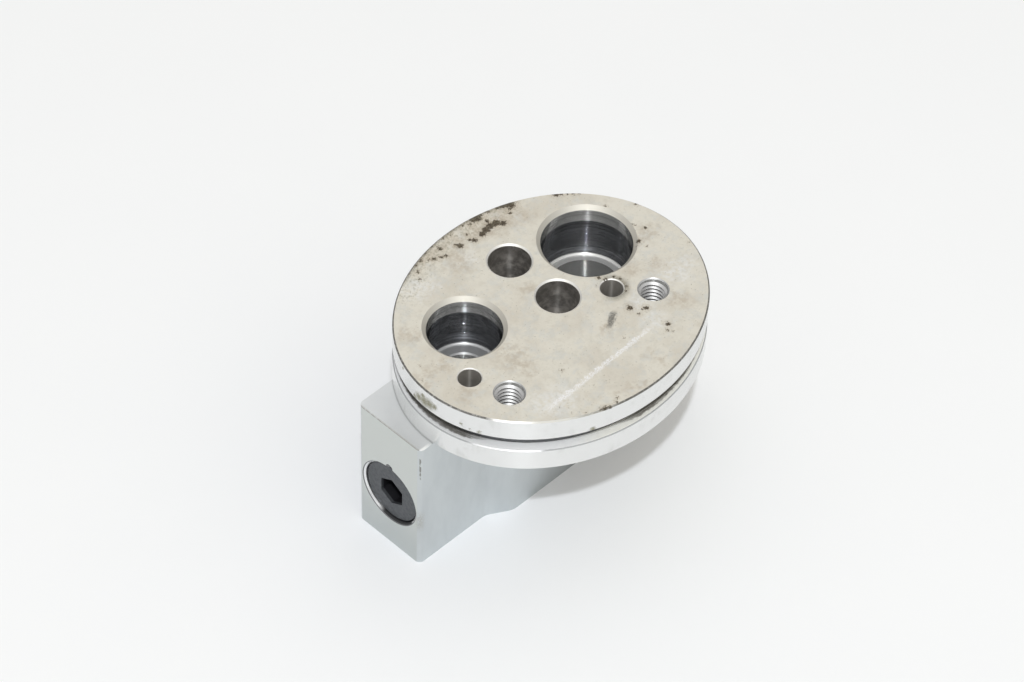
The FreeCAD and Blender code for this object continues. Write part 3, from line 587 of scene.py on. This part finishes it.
drifting = body.ragged(0.45, 6.0)
stain = body.step(share_on_face(STAINS, drifting), 1.7, 0.1)
stain = stain * body.step(body.noise(0.8, 4.0, 0.65), 0.30, 0.62) * top_face
body.lay(stain * 0.65, body.mix(mottle, DEEP_STAIN, STAIN))
pale = body.step(share_on_face(PALES, drifting), 1.8, 0.1)
pale = pale * body.step(body.noise(1.1, 4.0, 0.7), 0.36, 0.62) * top_face
body.lay(pale * 0.5, PALE_PATCH, 0.44)

# a lighter scuffed streak and the grey scuff beside the pin hole, between the pixels of their ends
STREAK_ENDS = ((650, 328), (549, 409))
SCUFF_ENDS = ((614, 312), (609, 327))
STREAK = (0.93, 0.93, 0.94)
SCUFF = (0.17, 0.165, 0.15)


def line_mask(ends, half_width, fade, raggedness):
    """Mask of a straight mark on the pipe face between two pixels."""
    start, end = (on_face(*pixel, TOP)[:2] for pixel in ends)
    length = math.dist(start, end)
    way_x, way_y = ((b - a) / length for a, b in zip(start, end))
    from_x, from_y = body.x - start[0], body.y - start[1]
    far = from_x * way_x + from_y * way_y
    beside = from_y * way_x - from_x * way_y + (mottle - 0.5) * raggedness
    mask = body.step(abs(beside), half_width, half_width * 0.3)
    return top_face * mask * body.step(far, -fade, fade) * body.step(far, length + fade, length - fade)


streak = line_mask(STREAK_ENDS, 0.75, 3.0, 2.0) * body.step(fine, 0.34, 0.60)
body.lay(streak * (0.30 + body.step(mottle, 0.36, 0.54) * 0.55), STREAK)
scuff = line_mask(SCUFF_ENDS, 0.9, 0.8, 1.6) * body.step(fine, 0.28, 0.50)
body.lay(scuff * 0.9, SCUFF)

# dirt: (column, row, radius in millimetres) of each crust, speck or dash on the pipe face, and of
# each patch of grime on the flange's edge
CRUSTS = (
    (502, 206, 0.7), (507, 204, 1.0), (511, 205, 0.8), (510, 209, 0.4), (497, 208, 0.45), (510, 213, 0.35),
    (473, 220, 0.8), (477, 218, 0.9), (481, 215, 0.35), (488, 212, 0.3), (470, 224, 0.35), (463, 226, 0.3),
    (482, 234, 0.7), (486, 230, 0.8), (490, 226, 0.8), (496, 223, 0.9), (503, 223, 0.7), (487, 221, 0.45),
    (475, 240, 0.5), (470, 240, 0.4), (460, 246, 0.6), (456, 245, 0.3), (467, 234, 0.3), (440, 249, 0.45),
    (446, 256, 0.4), (438, 247, 0.3), (441, 257, 0.35), (434, 259, 0.45), (429, 260, 0.3), (421, 261, 0.35),
    (416, 266, 0.3), (418, 272, 0.35), (420, 279, 0.25), (431, 247, 0.3), (426, 253, 0.25), (443, 238, 0.25),
    (451, 235, 0.2), (556, 194.5, 0.55), (561, 194, 0.45), (567, 193.5, 0.3), (573, 193.5, 0.4),
    (579, 193, 0.35), (605, 206, 0.25), (610, 213, 0.25), (618, 217, 0.35), (623, 228, 0.3), (632, 224, 0.2),
    (635, 225, 0.2), (645, 228, 0.3), (639, 241, 0.5), (636, 245, 0.3), (647, 246, 0.2), (599, 278, 0.35),
    (606, 279, 0.4), (614, 277, 0.3), (620, 279, 0.3), (626, 286, 0.3), (626, 291, 0.25), (597, 286, 0.2),
    (630, 308, 0.6), (627, 305, 0.25), (646, 308, 0.5), (643, 309, 0.25), (639, 314, 0.25), (668, 324, 0.5),
    (668, 330, 0.3), (673, 331, 0.2), (605, 408, 0.45), (610, 407, 0.4), (601, 409, 0.3), (616, 402, 0.25),
    (562, 370, 0.25), (624, 338, 0.15), (402, 367, 0.3), (397, 388, 0.25), (422, 380, 0.2), (560, 407, 0.12),
    (420, 366, 0.15), (636, 204, 0.3), (689, 242, 0.2), (586, 413, 0.2), (571, 413, 0.15),
    (597, 213, 0.2), (613, 214, 0.25), (612, 220, 0.3), (616, 221, 0.25), (625, 226, 0.25), (629, 230, 0.25),
    (631, 234, 0.2), (633, 238, 0.25), (617, 398, 0.25),
)
GRIMES = (
    (424, 401, 1.3), (429, 404, 1.2), (419, 397, 0.9), (434, 407, 0.7), (415, 396, 0.5), (423, 396, 0.6),
    (593, 429, 0.6), (403, 368, 0.4), (479, 432, 0.35), (470, 429, 0.25), (461, 424, 0.3),
)
CRUST = (0.036, 0.029, 0.021)
CRUST_BROWN = (0.12, 0.092, 0.062)
CRUST_HALO = (0.38, 0.31, 0.23)
PIN_SOOT = (0.21, 0.20, 0.165)
GRIME = (0.235, 0.225, 0.115)
SPECKLES = (0.30, 0.285, 0.205)
BORDER_DIRT = (0.14, 0.125, 0.10)
SPECKS = (0.30, 0.27, 0.21)
share = share_on_face(CRUSTS, body.ragged(2.6, 1.7))
crust = body.step(share + (fine - 0.5) * 0.8, 1.30, 0.75) * body.step(body.z, TOP - 1.2, TOP - 0.8)
halo = body.step(share, 3.4, 0.9) * top_face * body.step(fine, 0.36, 0.60)
body.lay(halo * 0.5, CRUST_HALO, 0.55, 0.7)
sooty_pin = PIN_CENTRES[1]
sooty_side = (body.x - sooty_pin[0]) * level.x + (body.y - sooty_pin[1]) * level.y
sooty = body.step(body.distance(*sooty_pin), 4.2, 2.5) * body.step(sooty_side, -3.0, 1.0)
body.lay(sooty * top_face * body.step(fine, 0.25, 0.50) * 0.75, PIN_SOOT, 0.6, 0.6)
body.lay(crust, body.mix(body.step(fine, 0.40, 0.62), CRUST, CRUST_BROWN), 0.9, 0.05)
grimes = [(*on_rim(column, row), radius) for column, row, radius in GRIMES]
share = body.nearest(grimes, body.ragged(2.4, 1.4))
grime = body.step(share, 1.7, 0.2) * rim * body.step(fine, 0.22, 0.52)
body.lay(grime * 0.85, GRIME, 0.8, 0.2)
speckled = body.step(inset, 6.5, 1.5) * body.step(sideways, -4.0, -11.0) * body.step(away, -4.0, 3.0)
speckled = top_face * speckled * body.step(body.noise(1.6, 4.0, 0.75), 0.50, 0.64)
body.lay(speckled * 0.55, SPECKLES, 0.6, 0.6)
border = top_face * body.step(inset, 1.10, 0.40) * body.step(sideways, -6.0, -9.0) * body.step(away, 2.0, 7.0)
body.lay(border * body.step(fine, 0.38, 0.56) * 0.85, BORDER_DIRT, 0.8, 0.3)
specks = body.step(body.noise(2.6, 1.0), 0.70, 0.76) * body.step(mottle, 0.45, 0.60)
body.lay(specks * top_face * 0.6, SPECKS)

# turning marks: rings per millimetre, and how far they lean the port walls and the groove's sides.
# The way outward from the flange's centre is scaled to a length near 1.
PORT_RINGS = 45.0
PORT_RING_LEAN = 5.8
GROOVE_RINGS = 45.0
GROOVE_RING_LEAN = 1.0
OUTWARD_SCALE = 30.0
grain = body.noise(6.0, 3.0, 0.7)
turned = body.most(threads, holes * 0.35, screws * 0.35) * (1 - mouths)
turned = body.most(turned, rim * (1 - bevelled) * (1 - groove))
port_lines = body.stretched(0.0, 0.0, PORT_RINGS)
rings = body.grooved(port_lines, (0.0, 0.0, 1.0), ports * (1 - mouths) * PORT_RING_LEAN)
outward = body.node(
    "ShaderNodeCombineXYZ",
    inputs={"X": across / FLANGE_REACH[0] * OUTWARD_SCALE, "Y": along / FLANGE_REACH[1] * OUTWARD_SCALE},
)
groove_lines = body.node("ShaderNodeCombineXYZ", inputs={"X": inset * GROOVE_RINGS})
rings = body.grooved(groove_lines, outward, groove * (1 - groove_back) * GROOVE_RING_LEAN, rings)
normal = body.relief(grain * (1 - ports) + crust * 3.0, 0.22, 0.00004, Normal=rings)
dress("valve_body", body.finish(turned, Normal=normal))


# Thread ridges of the two M6 holes for the pipe fittings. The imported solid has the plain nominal
# hole, and the cut thread stands in it as one winding ridge of the same aluminium.
THREAD_PITCH = 1.0
THREAD_RADIUS = 3.0
CREST_RADIUS = 2.48
ROOT_RADIUS = THREAD_RADIUS + 0.02
FLANK_RISE = 0.44
CREST_RISE = 0.09
THREAD_START = 0.55
THREAD_DEPTH = 10.0
STEPS_PER_TURN = 64
RUN_OUT_STEPS = STEPS_PER_TURN / 3


def make_ridge(name, centre):
    """Winding ridge with a flat crest, which runs out into the wall at both ends."""
    turns = (THREAD_DEPTH - THREAD_START) / THREAD_PITCH
    steps = int(turns * STEPS_PER_TURN)
    verts, faces = [], []
    for number in range(steps + 1):
        angle = 2 * math.pi * number / STEPS_PER_TURN
        height = TOP - THREAD_START - THREAD_PITCH * number / STEPS_PER_TURN
        fade = min(1.0, number / RUN_OUT_STEPS, (steps - number) / RUN_OUT_STEPS)
        crest = ROOT_RADIUS - fade * (ROOT_RADIUS - CREST_RADIUS)
        for radius, rise in (
            (ROOT_RADIUS, FLANK_RISE), (crest, CREST_RISE), (crest, -CREST_RISE), (ROOT_RADIUS, -FLANK_RISE),
        ):
            verts.append((
                (centre[0] + radius * math.cos(angle)) * MM,
                (centre[1] - radius * math.sin(angle)) * MM,
                (height + rise * THREAD_PITCH) * MM,
            ))
    for number in range(steps):
        first = 4 * number
        for side in range(4):
            other = (side + 1) % 4
            faces.append((first + side, first + other, first + 4 + other, first + 4 + side))
    faces.append((3, 2, 1, 0))
    faces.append(tuple(4 * steps + side for side in range(4)))
    mesh = bpy.data.meshes.new(name)
    mesh.from_pydata(verts, [], faces)
    mesh.update()
    ridge = bpy.data.objects.new(name, mesh)
    scene.collection.objects.link(ridge)
    return ridge


THREAD_METAL = (0.58, 0.575, 0.57)
THREAD_DULL = (0.44, 0.435, 0.43)
thread = Finish("cut_thread", colour=THREAD_METAL, rough=0.42, metal=0.9)
thread.lay(thread.noise(2.0, 3.0), THREAD_DULL, 0.48)
thread_finish = thread.finish()
for name, centre in zip(("liquid_thread_ridge", "suction_thread_ridge"), THREAD_CENTRES):
    ridge = make_ridge(name, centre)
    ridge.data.materials.append(thread_finish)
    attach(ridge, "housing")


# Adjusting plug. It is turned steel with a dark satin coat, faced on the lathe, and its hexagon
# socket is broached. A punch mark at its rim locks it.
plug_low, plug_high = box_of("adjusting_plug")
PLUG_FACE = plug_low[0]
PLUG_RADIUS = plug_high[1]
PLUG_RINGS = 30.0
COAT = (0.102, 0.109, 0.118)
WORN_COAT = (0.078, 0.083, 0.091)
PLUG_RIM_SHADE = (0.045, 0.047, 0.051)
SOCKET_SHADE = (0.02, 0.02, 0.024)
plug = Finish("blackened_steel", colour=COAT, rough=0.42, metal=0.55)
from_axis = (plug.y ** 2 + (plug.z - AXIS_HEIGHT) ** 2) ** 0.5
facing = plug.node("ShaderNodeCombineXYZ", inputs={"X": from_axis * PLUG_RINGS})
wear = plug.noise(1.2, 4.0, 0.65)
plug.lay(plug.step(wear, 0.35, 0.70), WORN_COAT, 0.50)
# painted shade on the chamfer round the plug's face
plug.lay(plug.step(from_axis, PLUG_RADIUS - 0.30, PLUG_RADIUS - 0.22), PLUG_RIM_SHADE, 0.35)
# painted shade deep in the hexagon socket
plug.lay(plug.step(plug.x, PLUG_FACE + 0.5, PLUG_FACE + 0.8), SOCKET_SHADE)
plug_lines = plug.noise(1.0, 0.0, place=facing) + plug.noise(7.0, 2.0) * 0.5
dress("adjusting_plug", plug.finish(Normal=plug.relief(plug_lines, 0.2, 0.00003)))


# Thermal head at the hidden end: two pressed cups of stainless sheet, welded round their rims,
# and the steel plug on the dome that closes it once it is charged.
SHEET = (0.66, 0.65, 0.63)
SHEET_DULL = (0.52, 0.51, 0.50)
sheet = Finish("stainless_sheet", colour=SHEET, rough=0.30, metal=1.0)
drawn = sheet.noise(0.9, 4.0, 0.6, place=sheet.stretched(6.0, 1.0, 1.0))
sheet.lay(drawn, SHEET_DULL, 0.42)
sheet_finish = sheet.finish(Normal=sheet.relief(drawn + sheet.noise(8.0) * 0.4, 0.15, 0.00004))
for name in ("head_lower_cup", "head_upper_cup", "diaphragm"):
    dress(name, sheet_finish)


# Ball and push rod: hardened steel, ground and polished. The ball rests in its carrier's cup, and the
# rod slides through the wall between the passages. The head's charge plug is as bright.
GROUND_STEEL = (0.72, 0.72, 0.73)
GROUND_DULL = (0.60, 0.60, 0.61)
polished = Finish("polished_steel", colour=GROUND_STEEL, rough=0.12, metal=1.0)
polished.lay(polished.noise(3.0, 3.0), GROUND_DULL, 0.22)
polished_finish = polished.finish()
for name in ("valve_ball", "push_rod", "charge_plug"):
    dress(name, polished_finish)


# Superheat spring, damper ring and star washer: drawn or rolled spring steel, left as made. The
# spring gives way between the plug and the carrier; a copy of its mesh stands in for it, and the
# imported spring is hidden.
SPRING_STEEL = (0.52, 0.51, 0.49)
SPRING_DULL = (0.36, 0.35, 0.34)
END_COIL = 1.03
spring = Finish("spring_steel", colour=SPRING_STEEL, rough=0.30, metal=1.0)
spring.lay(spring.noise(4.0, 4.0, 0.6), SPRING_DULL, 0.50)
spring_finish = spring.finish()
for name in ("superheat_spring", "damper_ring", "star_clip"):
    dress(name, spring_finish)
coils = bpy.data.objects.new("superheat_spring_coils", nodes["superheat_spring"].data.copy())
scene.collection.objects.link(coils)
plug_side, carrier_side = (corner[0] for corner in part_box("superheat_spring"))
still = (plug_side + END_COIL * MM, 0.0, AXIS_HEIGHT * MM)
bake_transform(coils)
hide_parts("superheat_spring")


# Ball carrier, seat ring and stop plate: turned brass with a thin dull film. The ring is pressed into
# the body, the carrier holds the ball, and the plate lies between the stem and the diaphragm.
BRASS = (0.78, 0.62, 0.30)
BRASS_FILM = (0.55, 0.42, 0.20)
brass = Finish("brass", colour=BRASS, rough=0.26, metal=1.0)
brass.lay(brass.noise(1.5, 4.0, 0.6), BRASS_FILM, 0.46)
brass_finish = brass.finish()
for name in ("ball_carrier", "seat_ring", "stop_plate"):
    dress(name, brass_finish)


# Sensing stem: turned aluminium, between the push rod and the stop plate. It crosses the suction
# passage, where the vapour passes it.
STEM = (0.78, 0.78, 0.77)
STEM_DULL = (0.62, 0.62, 0.60)
STEM_RINGS = 9.0
stem = Finish("turned_aluminium", colour=STEM, rough=0.24, metal=1.0)
stem.lay(stem.noise(1.1, 3.0), STEM_DULL, 0.34)
stem_lines = stem.noise(1.0, 2.0, place=stem.stretched(STEM_RINGS, 0.0, 0.0))
dress("sensing_stem", stem.finish(Normal=stem.relief(stem_lines, 0.3, 0.00005)))


# Sealing rings: moulded black rubber with a faint bloom, squeezed on the plug's nose, round the rod
# and under the head's shoulder. The rod seal's backing washer is white polymer.
RUBBER = (0.022, 0.022, 0.023)
RUBBER_BLOOM = (0.045, 0.045, 0.046)
POLYMER = (0.82, 0.81, 0.77)
POLYMER_AGED = (0.74, 0.73, 0.68)
rubber = Finish("black_rubber", colour=RUBBER, rough=0.55, metal=0.0)
rubber.lay(rubber.noise(2.5, 4.0, 0.6), RUBBER_BLOOM, 0.75)
rubber_finish = rubber.finish()
for name in ("plug_o_ring", "rod_o_ring", "head_o_ring"):
    dress(name, rubber_finish)
polymer = Finish("white_polymer", colour=POLYMER, rough=0.45, metal=0.0)
polymer.lay(polymer.noise(1.5, 3.0), POLYMER_AGED, 0.55)
dress("backing_washer", polymer.finish())


# Floor: a plain pale sheet under the valve, wide enough for every view. It is dull, so it takes the
# valve's shadow and doesn't mirror it.
FLOOR_REACH = 4.0
PAPER = (0.864, 0.876, 0.914)
PAPER_LIGHT = (0.880, 0.891, 0.927)
floor_mesh = bpy.data.meshes.new("floor")
floor_mesh.from_pydata(
    [(-FLOOR_REACH, -FLOOR_REACH, 0), (FLOOR_REACH, -FLOOR_REACH, 0),
     (FLOOR_REACH, FLOOR_REACH, 0), (-FLOOR_REACH, FLOOR_REACH, 0)],
    [], [(0, 1, 2, 3)],
)
floor = bpy.data.objects.new("floor", floor_mesh)
scene.collection.objects.link(floor)
paper = Finish("pale_floor", colour=PAPER, rough=0.9, metal=0.0)
paper.lay(paper.noise(0.03, 3.0), PAPER_LIGHT)
floor_mesh.materials.append(paper.finish())


# Light: a plain white room, dimmer towards its walls, and one small lamp above the camera, which
# throws the flange's shadow under it and away from the camera. The room is a little warmer than it.
ROOM_LOW = 0.12
ROOM_HIGH = 0.86
ROOM_LEAN = 0.45
WALL_TOP = 0.1
CEILING = 0.7
MIRRORED_LOW = 0.45
MIRRORED_CEILING = 0.65
PLAIN_WHITE = (1.0, 1.0, 1.0)
WARM_WHITE = (1.0, 0.985, 0.950)
WARMER_WHITE = (1.0, 0.965, 0.835)
world = bpy.data.worlds.new("room")
world.use_nodes = True
scene.world = world
room = Shading(world.node_tree)
direction = room.node("ShaderNodeTexCoord", output="Generated")
rise = room.node("ShaderNodeSeparateXYZ", inputs={0: direction}, output="Z")
side = room.node(
    "ShaderNodeVectorMath", {"operation": "DOT_PRODUCT"}, {0: direction, 1: tuple(level)}, output="Value"
)
shed = (ROOM_LOW + room.step(rise, WALL_TOP, CEILING) * (ROOM_HIGH - ROOM_LOW)) * (1 + side * ROOM_LEAN)
mirrored = MIRRORED_LOW + room.step(rise, 0.0, MIRRORED_CEILING) * (1 - MIRRORED_LOW)
by_camera = room.node("ShaderNodeLightPath", output="Is Camera Ray")
by_gloss = room.node("ShaderNodeLightPath", output="Is Glossy Ray")
strength = shed + by_camera * (1 - shed) + by_gloss * (mirrored - shed)
warmth = room.mix(room.step(side, -0.3, 0.8), WARM_WHITE, WARMER_WHITE)
tint = room.mix(room.most(by_camera, by_gloss), warmth, PLAIN_WHITE)
background = room.node("ShaderNodeBackground", inputs={"Color": tint, "Strength": strength})
room.node("ShaderNodeOutputWorld", inputs={"Surface": background})

COOL_WHITE = (0.955, 0.985, 1.0)
LAMP_AZIMUTH = math.radians(-45.2)
LAMP_ELEVATION = math.radians(57.2)
LAMP_DISTANCE = 2.0
LAMP_WIDTH = 0.06
LAMP_POWER = 16.5
lamp_data = bpy.data.lights.new("lamp", "AREA")
lamp_data.shape = "DISK"
lamp_data.size = LAMP_WIDTH
lamp_data.energy = LAMP_POWER
lamp_data.color = COOL_WHITE
lamp = bpy.data.objects.new("lamp", lamp_data)
scene.collection.objects.link(lamp)
lamp_way = Vector((
    math.sin(LAMP_AZIMUTH) * math.cos(LAMP_ELEVATION),
    -math.cos(LAMP_AZIMUTH) * math.cos(LAMP_ELEVATION),
    math.sin(LAMP_ELEVATION),
))
lamp.location = lamp_way * LAMP_DISTANCE
lamp.rotation_euler = lamp_way.to_track_quat("Z", "Y").to_euler()

scene.view_settings.view_transform = "Standard"
